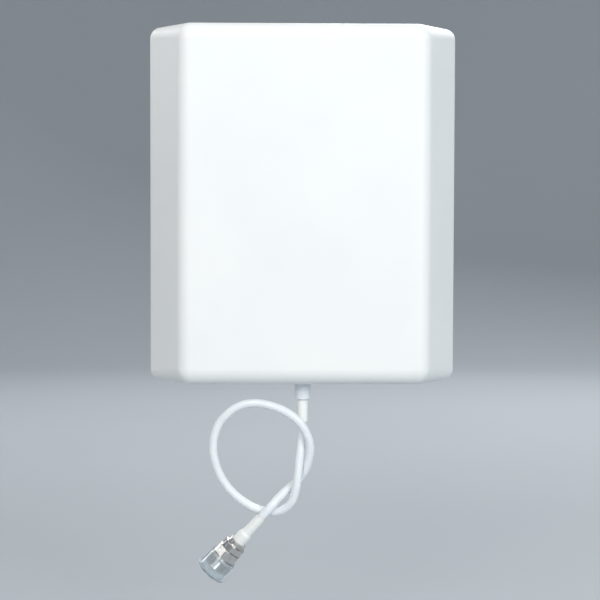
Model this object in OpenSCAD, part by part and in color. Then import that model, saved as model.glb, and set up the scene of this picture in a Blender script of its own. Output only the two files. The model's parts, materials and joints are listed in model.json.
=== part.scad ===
// Flat panel antenna on a tilting pole clamp, with a short coaxial lead tied in a loose knot.
// +Z is up and is the axis of the pole. The panel faces -Y. The origin is the centre of the clamp.
// Distances called depth are measured forwards from the rear face of the back plate.

/* [Panel housing] */
// Width of the radome
panel_w = 180; // [176:1:200]
// Height of the radome
panel_h = 208; // [204:1:260]
// Depth of the housing from the back plate to the front face
panel_d = 44; // [42:1:50]
// Width of the flat front face
face_w = 141; // [130:1:146]
// Depth of the straight rim behind the slanted side faces
rim_d = 10; // [9:0.5:12]
// Radius of the moulded edges round the rim
edge_r = 6.5; // [5.5:0.5:7.5]
// Radius of the moulded edges round the front face
front_r = 9.5; // [8:0.5:10]
// Wall thickness of the radome
wall_t = 2.5; // [2:0.25:3]
// Thickness of the back plate
plate_t = 2; // [1.5:0.5:3]

/* [Pole clamp] */
// Diameter of the pole that the jaws are bored for
pole_d = 50; // [46:1:50]
// Height of the clamp jaws
jaw_h = 40; // [36:2:44]
// Distance from the pole axis to each clamp bolt
bolt_x = 37; // [36:0.5:38]
// Length of the clamp bolts under the head
bolt_l = 90; // [80:5:110]

/* [Tilt joint] */
// Largest tilt each way, which sets the length of the lock slots
tilt_max = 20; // [10:1:20]
// Radius of the lock slots about the pivot
slot_r = 15; // [15:0.5:15.5]
// Thickness of the bracket plates
steel_t = 3; // [2.5:0.5:3]

/* [Lead] */
// Diameter of the coaxial cable
cable_d = 5; // [4.6:0.1:5]
// Length of the cable gland below the housing
gland_l = 10.5; // [8:0.5:14]
// Length of the shrink sleeve below the gland
exit_sleeve_l = 13; // [10:0.5:13.5]
// Travel of the cap over the connector thread
cap_l = 12.3; // [11:0.1:12.8]

/* [Hidden] */
$fn = 64;
eps = 0.01;
hull_fn = 28;
// Clearance over a wall made with hull(), whose facets stand a little proud of the true face
facet_gap = 0.05;

// Metric hardware: shank radius, across-flats, head height and nut height
m8_r = 4;
m8_af = 13;
m8_head = 5.3;
m8_nut = 6.5;
m6_r = 3;
m6_af = 10;
m6_head = 4;
m6_nut = 5;
m5_r = 2.5;
m5_af = 8;
m5_nut = 4.5;
m3_r = 1.5;
m3_head_r = 2.8;
m3_head = 1.8;
m8_washer_r = 8;
m6_washer_r = 6.4;
m5_washer_r = 4.6;
m5_washer_t = 1.2;
gland_thread_r = 3.95;
turn_gap = 0.1;
bolt_gap = 0.5;
washer_t = 1.6;
spring_t = 2;

// Clamp and tilt joint, as distances from the pole axis
pole_r = pole_d / 2;
jaw_in = 12;
jaw_out = 31;
jaw_half_w = bolt_x + 9;
jaw_shell = 5;
relief_r = pole_r + 2.5;
relief_half = 15;
bracket_front = jaw_out + steel_t;
pivot_y = -50;
lock_y = pivot_y - slot_r;
ear_in = 20;
ear_out = ear_in + steel_t;
friction_t = 1;
outer_in = ear_out + friction_t;
outer_t = 2.5;
outer_out = outer_in + outer_t;
nut_face = outer_out + washer_t;

// Housing: the back plate's rear face is the datum of every depth
back_y = -78;
half_w = panel_w / 2;
half_h = panel_h / 2;
slant = atan((panel_w - face_w) / 2 / (panel_d - rim_d));
front_cx = face_w / 2 - front_r * tan(45 - slant / 2);
rim_depth = rim_d - edge_r * tan(slant / 2);
rim_wall = 2.3;
fit_gap = 0.2;
plate_half_w = half_w - rim_wall - fit_gap;
plate_half_h = half_h - rim_wall - fit_gap;
plate_r = 5;
gasket_t = 1.5;
seat_depth = plate_t + gasket_t;
ledge_depth = 8;
ledge_inset = 6;
gasket_inset = 5;
boss_r = 4.5;
boss_depth = 15;
screw_r = 1.7;
screw_head_r = 3.4;
screw_head = 2.2;
cover_at = [for (sx = [-1, 1], sz = [-1, 0, 1]) [sx * (half_w - 10), sz * (half_h - 10)],
    for (sx = [-1, 1], sz = [-1, 1]) [sx * 30, sz * (half_h - 10)]];

// Radiating parts inside the housing
tray_half_w = half_w - 15;
tray_half_h = half_h - 16;
tray_depth = plate_t + 5;
sheet_t = 1;
tray_flange = 10;
low_depth = 18;
low_half = [52, 48];
high_depth = 27;
high_half = [27, 24];
standoff_at = [for (sx = [-1, 1], sz = [-1, 1]) [sx * 62, sz * 72]];
low_at = [for (sx = [-1, 1], sz = [-1, 1]) [sx * 38, sz * 34]];
high_at = [for (sx = [-1, 1], sz = [-1, 1]) [sx * 18, sz * 16]];
stud_at = [for (sx = [-1, 1], sz = [-1, 1]) [sx * 14, sz * 24]];
post_r = 3;
clip_half_w = 9;
clip_z = -74;
clip_h = 6;
clip_screw_x = 6;

// Cable route from the gland outwards, then straight along the axis of the connector
lead_depth = panel_d / 2;
lead_exit = [0, back_y - lead_depth, -half_h - gland_l];
cable_r = cable_d / 2;
bore_r = cable_r + 0.05;
knot = [[0, 0, 0], [0, 0, -6.5], [0, 0, -13.5], [-0.5, -0.5, -22], [-1.5, -2, -31.5],
    [-2.5, -3.5, -41.5], [-3.5, -4, -50.5], [-6, -2.5, -59.5], [-11, 0, -65], [-17.5, 2, -67],
    [-24.5, 3, -66], [-31, 2, -63], [-37.5, 1.5, -58.5], [-43.5, 1, -52.5], [-48, 0.5, -45.5],
    [-51, 0, -38], [-52.5, -0.5, -30], [-52, -1, -22], [-49, -1.5, -14], [-43.5, -2.5, -7.5],
    [-36.5, -3.5, -3], [-28.5, -4.5, -1.5], [-20.5, -5.5, -2.5], [-13, -6, -5], [-6, -6.5, -9],
    [-0.5, -6.5, -14.5], [3, -5.5, -21], [4.5, -3.5, -28.5], [3.5, -1, -36], [1, 1, -43],
    [-3.5, 2, -49], [-9, 1, -53.5], [-14.5, -1, -58.5], [-19.5, -3, -64]];
plug_at = lead_exit + [-37.5, 1, -84];
plug_lean = 42;
plug_away = 10;
plug_dir = [-sin(plug_lean) * cos(plug_away), sin(plug_away), -cos(plug_lean) * cos(plug_away)];
route = concat([for (p = knot) lead_exit + p], [for (s = [20, 10, 0]) plug_at - s * plug_dir]);
cord_sides = 10;

// Connector, as distances along its own axis from its rear face
nut_ring = 2.6;
hex_start = 6.8;
barrel_start = 12.8;
barrel_end = 21.2;
barrel_r = 7.95;
cap_bore_r = 8.03;
cap_wall = 0.45;
cap_end = 24.2;
cap_close = 1;
cap_rim_r = 9.75;
cap_rim = 1.2;
jack_r = 4.3;
ferrule_l = 6;
ferrule_r = 3.3;
sleeve_wide_r = 4.15;
sleeve_thin_r = 3.1;
sleeve_l = 20;

// ---- Shared shapes ----

module rounded(half_a, half_b, r) {
    square([2 * half_a, 2 * (half_b - r)], center = true);
    square([2 * (half_a - r), 2 * half_b], center = true);
    for (sa = [-1, 1], sb = [-1, 1])
        translate([sa * (half_a - r), sb * (half_b - r)]) circle(r = r);
}

// Places a flat outline, drawn as seen from behind the panel's front, between two depths
module sheet(depth, thick) {
    translate([0, back_y - depth, 0]) rotate([90, 0, 0]) linear_extrude(thick) children();
}

// Stands its children on a panel position, pointing forwards from a depth
module forward(at, depth) {
    translate([at[0], back_y - depth, at[1]]) rotate([90, 0, 0]) children();
}

module ring(outer, inner, h) {
    difference() {
        cylinder(r = outer, h = h);
        translate([0, 0, -1]) cylinder(r = inner, h = h + 2);
    }
}

// Hexagon with both ends chamfered, or only the far one, its corners turned down to a radius
module hex(af, h, both = false, turned_r = 100) {
    corner_r = af / 2 / cos(30);
    side_r = min(corner_r, turned_r);
    cut = (side_r - af / 2) * 0.6;
    low = both ? cut : 0;
    low_r = both ? af / 2 * 0.98 : side_r;
    intersection() {
        cylinder(r = corner_r, h = h, $fn = 6);
        rotate_extrude() polygon([[0, 0], [low_r, 0], [side_r, low], [side_r, h - cut],
            [af / 2 * 0.98, h], [0, h]]);
    }
}

module hex_nut(af, h, bore) {
    difference() {
        hex(af, h, true);
        translate([0, 0, -1]) cylinder(r = bore, h = h + 2);
    }
}

// Bolt with its head below the origin and a chamfered shank above it
module bolt(r, af, head, l) {
    mirror([0, 0, 1]) hex(af, head);
    cylinder(r = r, h = l - 1);
    translate([0, 0, l - 1]) cylinder(r1 = r, r2 = r - 0.8, h = 1);
}

// Round-headed screw with a cross recess, its head below the origin
module cross_screw(r, head_r, head, l) {
    difference() {
        union() {
            translate([0, 0, -head]) cylinder(r1 = head_r * 0.75, r2 = head_r, h = head * 0.5);
            translate([0, 0, -head * 0.5]) cylinder(r = head_r, h = head * 0.5);
            cylinder(r = r, h = l);
        }
        for (a = [0, 90]) rotate([0, 0, a])
            translate([-head_r * 0.55, -0.35, -head - 1]) cube([head_r * 1.1, 0.7, 1 + head * 0.6]);
    }
}

// Outline drawn in the Y-Z plane and extruded along X, from a start over a thickness
module side_plate(start, thick) {
    translate([start, 0, 0]) rotate([90, 0, 90]) linear_extrude(thick) children();
}

// Children point along +X from a place on the pivot or lock line
module across(x, y) {
    translate([x, y, 0]) rotate([0, 90, 0]) children();
}

// Children point along +Y on both clamp bolt axes
module on_bolts(y) {
    for (s = [-1, 1]) translate([s * bolt_x, y, 0]) rotate([-90, 0, 0]) children();
}

module on_plug() {
    translate(plug_at) rotate([-plug_away, 180 + plug_lean, 0]) children();
}

// ---- Tube swept along a path that never runs parallel to Y ----

function unit(v) = v / norm(v);
function heading(path, i) = unit(path[min(i + 1, len(path) - 1)] - path[max(i - 1, 0)]);
function ring_at(path, i, r, sides) = let (
    along = heading(path, i),
    a = unit(cross(along, [0, 1, 0])),
    b = cross(a, along)) [for (k = [0 : sides - 1]) let (t = 360 * k / sides)
        path[i] + r * (cos(t) * a + sin(t) * b)];

module tube(path, r, sides) {
    rings = len(path);
    points = [for (i = [0 : rings - 1]) each ring_at(path, i, r, sides)];
    walls = [for (i = [0 : rings - 2], k = [0 : sides - 1]) let (
        a = i * sides + k,
        b = i * sides + (k + 1) % sides,
        c = a + sides,
        d = b + sides) each [[a, b, c], [b, d, c]]];
    first = [for (k = [sides - 1 : -1 : 0]) k];
    last = [for (k = [0 : sides - 1]) (rings - 1) * sides + k];
    polyhedron(points = points, faces = concat([first, last], walls), convexity = 6);
}

// ---- Housing ----

// Solid of the housing shrunk by an inset, open to the rear plane
module housing_body(inset) {
    r = edge_r - inset;
    hull() {
        for (sx = [-1, 1], sz = [-1, 1]) {
            translate([sx * front_cx, back_y - panel_d + front_r, sz * (half_h - front_r)])
                sphere(r = front_r - inset, $fn = hull_fn);
            translate([sx * (half_w - edge_r), back_y - rim_depth, sz * (half_h - edge_r)])
                sphere(r = r, $fn = hull_fn);
            translate([sx * (half_w - edge_r), back_y, sz * (half_h - edge_r)])
                rotate([90, 0, 0]) cylinder(r = r, h = 1, $fn = hull_fn);
        }
    }
}

module radome() {
    color("white") difference() {
        housing_body(0);
        difference() {
            housing_body(wall_t);
            sheet(-1, ledge_depth + 1) square(2 * panel_h, center = true);
            intersection() {
                housing_body(wall_t / 2);
                for (p = cover_at) forward(p, 0) cylinder(r = boss_r, h = boss_depth);
            }
        }
        difference() {
            sheet(-1, seat_depth + 1) rounded(plate_half_w + fit_gap, plate_half_h + fit_gap, plate_r);
            for (p = cover_at) forward(p, plate_t) cylinder(r = boss_r, h = boss_depth);
        }
        difference() {
            sheet(seat_depth - eps, ledge_depth - seat_depth + 2 * eps)
                rounded(half_w - ledge_inset, half_h - ledge_inset, plate_r);
            for (p = cover_at) forward(p, 0) cylinder(r = boss_r, h = boss_depth);
        }
        for (p = cover_at) forward(p, -1) cylinder(r = screw_r + 0.05, h = boss_depth);
        translate([0, back_y - lead_depth, -half_h - 1]) cylinder(r = gland_thread_r + 0.05, h = wall_t + 2);
    }
}

module radome_gasket() {
    color("dimgray") sheet(plate_t, gasket_t) difference() {
        rounded(plate_half_w, plate_half_h, plate_r);
        rounded(half_w - gasket_inset, half_h - gasket_inset, plate_r);
    }
}

module back_plate() {
    color("silver") difference() {
        sheet(0, plate_t) rounded(plate_half_w, plate_half_h, plate_r);
        for (p = cover_at) forward(p, -1) cylinder(r = screw_r + 0.3, h = plate_t + 2);
        for (p = stud_at) forward(p, -1) cylinder(r = m5_r + 0.05, h = plate_t + 2);
        for (p = standoff_at) forward(p, -1) cylinder(r = 2.05, h = plate_t + 2);
    }
}

module cover_screws() {
    color("gainsboro") for (p = cover_at) forward(p, 0)
        cross_screw(screw_r, screw_head_r, screw_head, 12);
}

// ---- Radiating parts ----

module reflector_tray() {
    color("silver") difference() {
        union() {
            sheet(tray_depth, sheet_t) square([2 * tray_half_w, 2 * tray_half_h], center = true);
            for (s = [-1, 1])
                sheet(tray_depth, tray_flange) translate([s * (tray_half_w - sheet_t / 2), 0])
                    square([sheet_t, 2 * tray_half_h], center = true);
        }
        for (p = concat(standoff_at, low_at)) forward(p, 0) cylinder(r = m3_r + 0.1, h = tray_depth + 2);
        for (s = [-1, 1])
            forward([s * clip_screw_x, clip_z + clip_h / 2], 0) cylinder(r = 1.3, h = tray_depth + 2);
    }
}

module tray_standoffs() {
    color("darkgray") for (p = standoff_at) forward(p, 0) difference() {
        union() {
            cylinder(r = 2, h = plate_t);
            translate([0, 0, plate_t]) cylinder(r = 3.5, h = tray_depth - plate_t);
        }
        translate([0, 0, -1]) cylinder(r = m3_r + 0.05, h = tray_depth + 2);
    }
}

module tray_screws() {
    color("gainsboro") for (p = standoff_at) forward(p, tray_depth + sheet_t) mirror([0, 0, 1])
        cross_screw(m3_r, m3_head_r, m3_head, 6);
}

module patch(half, depth, corner) {
    sheet(depth, sheet_t) difference() {
        rounded(half[0], half[1], corner);
        circle(r = post_r + 0.05);
        children();
    }
}

module low_band_patch() {
    slot_x = 30;
    slot_half = [1.5, 22];
    color("goldenrod") difference() {
        patch(low_half, low_depth, 4) for (s = [-1, 1]) translate([s * slot_x, 0])
            rounded(slot_half[0], slot_half[1], slot_half[0] - 0.1);
        for (p = concat(low_at, high_at)) forward(p, 0) cylinder(r = m3_r + 0.1, h = 40);
    }
}

module high_band_patch() {
    color("goldenrod") sheet(high_depth, sheet_t) difference() {
        rounded(high_half[0], high_half[1], 3);
        for (p = high_at) translate(p) circle(r = m3_r + 0.1);
    }
}

module spacers(at, r, from, to) {
    for (p = at) forward(p, from) ring(r, m3_r + 0.1, to - from);
}

module patch_spacers() {
    color("ivory") spacers(low_at, 4, tray_depth + sheet_t, low_depth);
}

module stack_spacers() {
    color("ivory") spacers(high_at, 3, low_depth + sheet_t, high_depth);
}

module patch_screws() {
    color("ivory") {
        for (p = low_at) forward(p, low_depth + sheet_t) mirror([0, 0, 1])
            cross_screw(m3_r, m3_head_r, m3_head, low_depth - tray_depth + sheet_t);
        for (p = high_at) forward(p, high_depth + sheet_t) mirror([0, 0, 1])
            cross_screw(m3_r, m3_head_r, m3_head, high_depth - low_depth + sheet_t);
    }
}

module ground_post() {
    post_from = tray_depth + sheet_t;
    color("gold") forward([0, 0], post_from) cylinder(r = post_r, h = high_depth - post_from);
}

// Strip that rises from the end of the coax and runs under the lower edge of the large patch
module feed_strip() {
    strip_half = 2.5;
    strip_t = 0.8;
    foot_z = clip_z + 14.4;
    tray_gap = 1.6;
    rise = low_depth - tray_depth - tray_gap;
    run = low_half[1] + foot_z;
    color("orange") translate([-strip_half, back_y, foot_z]) {
        translate([0, -low_depth, 0]) cube([2 * strip_half, rise, strip_t]);
        translate([0, -low_depth, 0]) cube([2 * strip_half, strip_t, 4 - run]);
    }
}

// The lead's stretch inside the housing: through the gland, an S bend, and along the tray
module inner_coax() {
    bend = [0 : 15 : 60];
    low_line = tray_depth + sheet_t + cable_r + 0.1;
    bend_r = lead_depth - low_line;
    far_y = back_y - lead_depth;
    near_y = back_y - low_line;
    turn_z = -96;
    flat_z = turn_z + 2 * bend_r * sin(60);
    top_z = clip_z + 10;
    path = concat([lead_exit],
        [for (a = bend) [0, far_y + bend_r * (1 - cos(a)), turn_z + bend_r * sin(a)]],
        [for (a = [45 : -15 : 0]) [0, near_y - bend_r * (1 - cos(a)), flat_z - bend_r * sin(a)]],
        [[0, near_y, top_z]]);
    color("white") {
        tube(path, cable_r, cord_sides);
        translate([0, near_y, top_z - 1]) cylinder(r = 1.5, h = 4);
        translate([0, near_y, top_z - 1]) cylinder(r = 0.45, h = 5.4);
    }
}

module coax_clip() {
    from = tray_depth + sheet_t;
    color("ivory") difference() {
        translate([-clip_half_w, back_y - from - cable_d - 1, clip_z])
            cube([2 * clip_half_w, cable_d + 1, clip_h]);
        translate([0, back_y - from - cable_r - 0.1, clip_z - 1]) cylinder(r = bore_r, h = clip_h + 2);
        translate([-bore_r, back_y - from - cable_r, clip_z - 1]) cube([2 * bore_r, cable_d, clip_h + 2]);
        for (s = [-1, 1]) forward([s * clip_screw_x, clip_z + clip_h / 2], 0)
            cylinder(r = 1.3, h = 20);
    }
}

module coax_clip_screws() {
    from = tray_depth + sheet_t + cable_d + 1;
    color("gainsboro") for (s = [-1, 1])
        forward([s * clip_screw_x, clip_z + clip_h / 2], from) mirror([0, 0, 1])
            cross_screw(1.25, 2.2, 1.4, cable_d + 1 + sheet_t + 1);
}

// ---- Cable exit ----

module cable_gland() {
    flange_l = 3.5;
    flange_r = 4.8;
    body_r = 4.55;
    inside_l = 7.5;
    color("white") translate([0, back_y - lead_depth, -half_h]) rotate_extrude() polygon([
        [bore_r, inside_l], [gland_thread_r, inside_l], [gland_thread_r, 0], [flange_r, 0],
        [flange_r, -flange_l], [body_r, -flange_l - 0.3], [body_r, 1 - gland_l],
        [body_r - 1, -gland_l], [bore_r, -gland_l]]);
}

module gland_nut() {
    af = 11;
    h = 3;
    color("white") translate([0, back_y - lead_depth, wall_t + facet_gap - half_h])
        hex_nut(af, h, gland_thread_r + 0.05);
}

module exit_sleeve() {
    color("white") translate(lead_exit) rotate_extrude() polygon([[bore_r, 0], [bore_r + 0.6, 0],
        [bore_r + 0.55, -exit_sleeve_l * 0.6], [bore_r + 0.4, -exit_sleeve_l], [bore_r, -exit_sleeve_l]]);
}

// ---- Lead ----

module pigtail_cord() {
    color("white") tube(route, cable_r, cord_sides);
}

module connector_sleeve() {
    wide_l = 6.5;
    step_l = 8.5;
    color("white") on_plug() rotate_extrude() polygon([
        [ferrule_r + 0.05, 0], [sleeve_wide_r, 0], [sleeve_wide_r, -wide_l],
        [sleeve_thin_r, -step_l], [sleeve_thin_r - 0.1, -sleeve_l], [bore_r, -sleeve_l],
        [bore_r, -step_l], [ferrule_r + 0.05, -ferrule_l]]);
}

module crimp_ferrule() {
    color("silver") on_plug() translate([0, 0, -ferrule_l]) ring(ferrule_r, bore_r, ferrule_l);
}

module connector_nut() {
    ring_r = 5.3;
    af = 13;
    turn = 22;
    color("silver") on_plug() difference() {
        union() {
            cylinder(r = ring_r, h = nut_ring);
            translate([0, 0, nut_ring - 0.2]) rotate(turn)
                hex(af, hex_start - nut_ring + 0.2, true, turned_r = af / 2 + 0.25);
        }
        translate([0, 0, -1]) cylinder(r = 1.6, h = 4);
        translate([0, 0, 2]) cylinder(r = 4.45, h = hex_start);
    }
}

module connector_body() {
    af = 14;
    turn = -21;
    spigot_r = 4.4;
    color("silver") on_plug() difference() {
        union() {
            translate([0, 0, 2]) cylinder(r = spigot_r, h = hex_start - 2);
            translate([0, 0, hex_start]) rotate(turn)
                hex(af, barrel_start - hex_start, true, turned_r = af / 2 + 0.5);
            translate([0, 0, barrel_start]) cylinder(r = barrel_r - 0.5, h = 1);
            translate([0, 0, barrel_start + 1]) cylinder(r = barrel_r, h = barrel_end - barrel_start - 1.6);
            translate([0, 0, barrel_end - 0.6]) cylinder(r1 = barrel_r, r2 = barrel_r - 0.6, h = 0.6);
        }
        translate([0, 0, 1]) cylinder(r = 2.5, h = 9);
        translate([0, 0, 9]) cylinder(r = jack_r, h = barrel_end);
    }
}

module connector_insulator() {
    color("ivory") on_plug() difference() {
        union() {
            translate([0, 0, 3]) cylinder(r = 2.45, h = 7);
            translate([0, 0, 9]) cylinder(r = jack_r - 0.05, h = 5);
        }
        translate([0, 0, 1]) cylinder(r = 1.5, h = 14);
    }
}

module connector_contact() {
    color("gold") on_plug() difference() {
        translate([0, 0, 2]) cylinder(r = 1.45, h = 17);
        translate([0, 0, 14]) cylinder(r = 0.85, h = 6);
        for (a = [0, 90]) rotate([0, 0, a]) translate([-2, -0.15, 15]) cube([4, 0.3, 5]);
    }
}

module connector_cap() {
    cap_start = cap_end - cap_l + 1;
    cap_r = cap_bore_r + cap_wall;
    color([0.85, 0.92, 0.95, 0.6]) on_plug() rotate_extrude() polygon([
        [cap_bore_r, cap_start], [cap_r, cap_start], [cap_r, cap_end + cap_close - cap_rim],
        [cap_rim_r, cap_end + cap_close - cap_rim], [cap_rim_r, cap_end + cap_close],
        [0, cap_end + cap_close], [0, cap_end], [cap_bore_r, cap_end]]);
}

// ---- Panel side of the tilt joint ----

module lock_slot() {
    end_turn = tilt_max + 2;
    half = m6_r + 0.3;
    reach = 30;
    intersection() {
        difference() {
            circle(r = slot_r + half);
            circle(r = slot_r - half);
        }
        polygon([[0, 0], [-reach * cos(end_turn), reach * sin(end_turn)],
            [-reach * cos(end_turn), -reach * sin(end_turn)]]);
    }
    for (s = [-1, 1]) rotate(s * end_turn) translate([-slot_r, 0]) circle(r = half - 0.1);
}

module panel_bracket() {
    base_half_h = 32;
    root_half = 28;
    eye_r = 13;
    color("lightgray") difference() {
        union() {
            sheet(-outer_t, outer_t) rounded(outer_out, base_half_h, 4);
            for (s = [-1, 1]) side_plate(s > 0 ? outer_in : -outer_out, outer_t) hull() {
                translate([pivot_y, 0]) circle(r = eye_r);
                translate([back_y + outer_t / 2, 0]) square([outer_t / 2, 2 * root_half], center = true);
            }
        }
        across(-outer_out - 1, pivot_y) cylinder(r = m8_r + turn_gap, h = 2 * outer_out + 2);
        side_plate(-outer_out - 1, 2 * outer_out + 2) translate([pivot_y, 0]) lock_slot();
        for (p = stud_at) forward(p, -outer_t - 1) cylinder(r = m5_r + 0.25, h = outer_t + 2);
    }
}

module bracket_studs() {
    stud_l = 14;
    head_r = 3.9;
    head = 1.2;
    color("gainsboro") for (p = stud_at) forward(p, plate_t) {
        cylinder(r = head_r, h = head);
        mirror([0, 0, 1]) cylinder(r = m5_r, h = stud_l + plate_t);
    }
}

module bracket_washers() {
    color("gainsboro") for (p = stud_at) forward(p, -outer_t - m5_washer_t)
        ring(m5_washer_r, m5_r + 0.1, m5_washer_t);
}

module bracket_nuts() {
    color("gainsboro") for (p = stud_at) forward(p, -outer_t - m5_washer_t - m5_nut)
        hex_nut(m5_af, m5_nut, m5_r + 0.05);
}

// ---- Pole side of the tilt joint ----

module pole_bracket() {
    plate_half = 24;
    eye_r = 12;
    tip_r = 9;
    color("lightgray") difference() {
        union() {
            translate([-jaw_half_w, -bracket_front, -plate_half])
                cube([2 * jaw_half_w, steel_t, 2 * plate_half]);
            for (s = [-1, 1]) side_plate(s > 0 ? ear_in : -ear_out, steel_t) {
                translate([pivot_y, -eye_r]) square([-bracket_front - pivot_y + 1, 2 * eye_r]);
                hull() {
                    translate([pivot_y, 0]) circle(r = eye_r);
                    translate([lock_y, 0]) circle(r = tip_r);
                }
            }
        }
        across(-ear_out - 1, pivot_y) cylinder(r = m8_r + turn_gap, h = 2 * ear_out + 2);
        across(-ear_out - 1, lock_y) cylinder(r = m6_r + turn_gap, h = 2 * ear_out + 2);
        on_bolts(-bracket_front - 1) cylinder(r = m8_r + bolt_gap, h = steel_t + 2);
    }
}

// Outline of a whole jaw rib, opening towards the pole
module rib_outline() {
    difference() {
        polygon([[-jaw_half_w, -jaw_in], [-jaw_half_w, -jaw_in - 8], [5 - jaw_half_w, -jaw_out],
            [jaw_half_w - 5, -jaw_out], [jaw_half_w, -jaw_in - 8], [jaw_half_w, -jaw_in]]);
        circle(r = pole_r);
    }
}

// Outline of the full-height wall: the bored seat and a flange on each side
module seat_outline() {
    intersection() {
        rib_outline();
        union() {
            circle(r = pole_r + jaw_shell);
            translate([0, -jaw_in - jaw_shell / 2])
                square([4 * jaw_half_w, jaw_shell], center = true);
        }
    }
}

module relief_notch() {
    reach = 2 * relief_r;
    intersection() {
        circle(r = relief_r);
        polygon([[0, 0], [-reach * tan(relief_half), -reach], [reach * tan(relief_half), -reach]]);
    }
}

module jaw() {
    rib_t = 3;
    boss = 9;
    difference() {
        union() {
            translate([0, 0, -jaw_h / 2]) linear_extrude(jaw_h) seat_outline();
            for (z = [-1, 0, 1]) translate([0, 0, z * (jaw_h - rib_t) / 2 - rib_t / 2])
                linear_extrude(rib_t) rib_outline();
            intersection() {
                on_bolts(-jaw_out) cylinder(r = boss, h = jaw_out - jaw_in);
                translate([0, 0, -jaw_h / 2]) linear_extrude(jaw_h) rib_outline();
            }
        }
        translate([0, 0, -jaw_h]) linear_extrude(2 * jaw_h) relief_notch();
        on_bolts(-jaw_out - 1) cylinder(r = m8_r + bolt_gap, h = jaw_out);
    }
}

module front_jaw() {
    color("darkgray") jaw();
}

module clamp_bolts() {
    color("gainsboro") on_bolts(-bracket_front - washer_t) bolt(m8_r, m8_af, m8_head, bolt_l);
}

module clamp_head_washers() {
    color("gainsboro") on_bolts(-bracket_front - washer_t)
        ring(m8_washer_r, m8_r + turn_gap, washer_t);
}

module pivot_bolt() {
    color("gainsboro") across(nut_face, pivot_y) mirror([0, 0, 1])
        bolt(m8_r, m8_af, m8_head, 2 * nut_face + 10);
}

module pivot_washers() {
    color("gainsboro") for (x = [outer_out, -nut_face])
        across(x, pivot_y) ring(m8_washer_r, m8_r + 0.05, washer_t);
}

module pivot_nut() {
    collar_r = 5.6;
    collar = 1.5;
    color("gainsboro") across(-nut_face, pivot_y) mirror([0, 0, 1]) {
        hex_nut(m8_af, m8_nut, m8_r + 0.05);
        translate([0, 0, m8_nut]) ring(collar_r, m8_r + 0.05, collar);
    }
}

module pivot_spacer() {
    tube_r = 6.5;
    color("gainsboro") across(-ear_in, pivot_y) ring(tube_r, m8_r + 0.15, 2 * ear_in);
}

module friction_washers() {
    pad_r = 10;
    color("dimgray") for (x = [ear_out, -outer_in])
        across(x, pivot_y) ring(pad_r, m8_r + turn_gap, friction_t);
}

module lock_bolts() {
    shank = nut_face + m6_nut + 3 - ear_in;
    color("gainsboro") for (s = [0, 1]) mirror([s, 0, 0])
        across(ear_in, lock_y) bolt(m6_r, m6_af, m6_head, shank);
}

module lock_washers() {
    color("gainsboro") for (s = [0, 1]) mirror([s, 0, 0])
        across(outer_out, lock_y) ring(m6_washer_r, m6_r + 0.05, washer_t);
}

module lock_nuts() {
    color("gainsboro") for (s = [0, 1]) mirror([s, 0, 0])
        across(nut_face, lock_y) hex_nut(m6_af, m6_nut, m6_r + 0.05);
}

// ---- Rear jaw ----

module rear_jaw() {
    color("darkgray") mirror([0, 1, 0]) jaw();
}

module clamp_washers() {
    color("gainsboro") on_bolts(jaw_out) ring(m8_washer_r, m8_r + turn_gap, washer_t);
}

module clamp_spring_washers() {
    coil_r = 6.8;
    slit = 1;
    color("gainsboro") on_bolts(jaw_out + washer_t) difference() {
        ring(coil_r, m8_r + turn_gap, spring_t);
        translate([0, -slit / 2, -1]) cube([coil_r + 1, slit, spring_t + 2]);
    }
}

module clamp_nuts() {
    color("gainsboro") on_bolts(jaw_out + washer_t + spring_t) hex_nut(m8_af, m8_nut, m8_r + turn_gap);
}

radome();
radome_gasket();
back_plate();
cover_screws();
reflector_tray();
tray_standoffs();
tray_screws();
low_band_patch();
high_band_patch();
patch_spacers();
stack_spacers();
patch_screws();
ground_post();
feed_strip();
inner_coax();
coax_clip();
coax_clip_screws();
cable_gland();
gland_nut();
exit_sleeve();
pigtail_cord();
connector_sleeve();
crimp_ferrule();
connector_nut();
connector_body();
connector_insulator();
connector_contact();
connector_cap();
panel_bracket();
bracket_studs();
bracket_washers();
bracket_nuts();
pole_bracket();
front_jaw();
clamp_bolts();
clamp_head_washers();
pivot_bolt();
pivot_washers();
pivot_nut();
pivot_spacer();
friction_washers();
lock_bolts();
lock_washers();
lock_nuts();
rear_jaw();
clamp_washers();
clamp_spring_washers();
clamp_nuts();
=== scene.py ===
"""Looks of a flat panel antenna on its tilting pole clamp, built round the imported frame.

Lengths are in metres. +Z is up along the pole, the panel faces -Y and the origin is the clamp.
"""

import json
import math

import bmesh
import bpy
from mathutils import Matrix, Vector


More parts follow.
